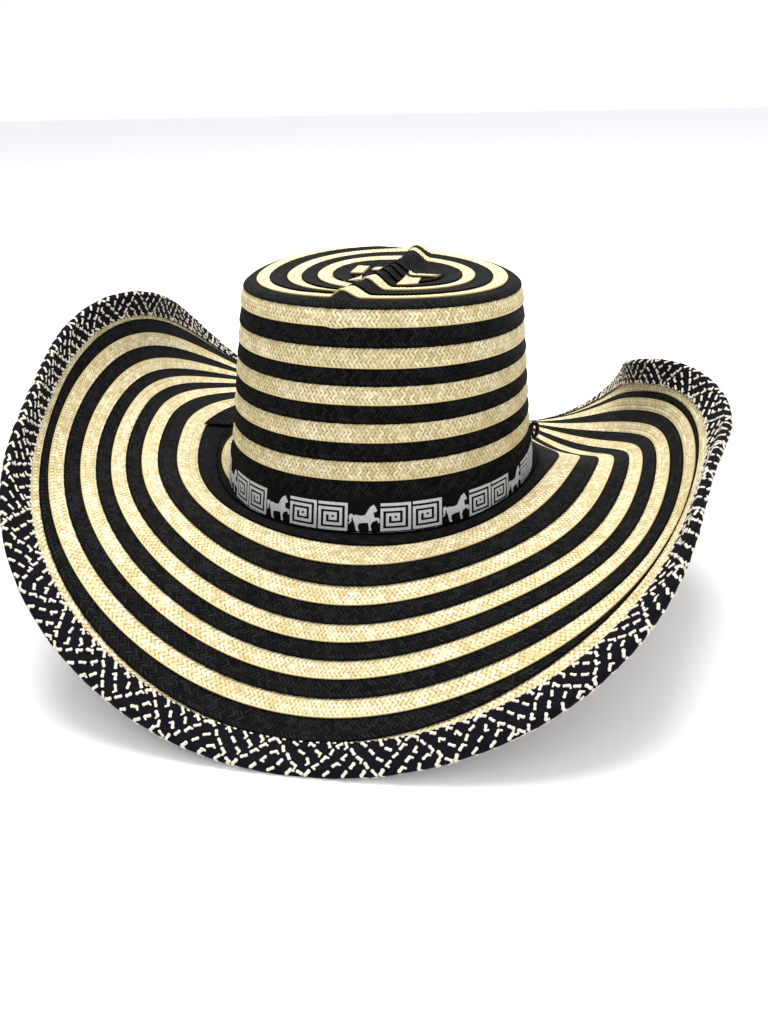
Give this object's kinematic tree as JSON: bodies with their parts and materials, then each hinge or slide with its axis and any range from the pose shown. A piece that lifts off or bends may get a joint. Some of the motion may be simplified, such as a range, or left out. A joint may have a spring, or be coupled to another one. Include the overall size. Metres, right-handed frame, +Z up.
{
  "type": "wide-brimmed braided straw hat",
  "caption": "Hollow straw hat sewn from black and cream braid, with a flat-topped crown, a brim rolled up at both sides, a patterned ribbon and a bound edge.",
  "frame": {"origin": "under the middle of the hat, on the surface that it rests on", "axes": "+Z up through the crown, -Y to the front, +X to the wearer's left, which is the picture's right"},
  "size_m": [0.3782, 0.4444, 0.1772],
  "materials": {
    "straw": "woven matte",
    "black_straw": "woven matte",
    "binding": "woven matte",
    "ribbon": "matte"
  },
  "bodies": {
    "root": {"crown": "straw", "brim": "straw", "edge_binding": "binding", "hatband": "ribbon", "band_loop": "ribbon", "braid_tail": "black_straw"}
  },
  "joints": []
}
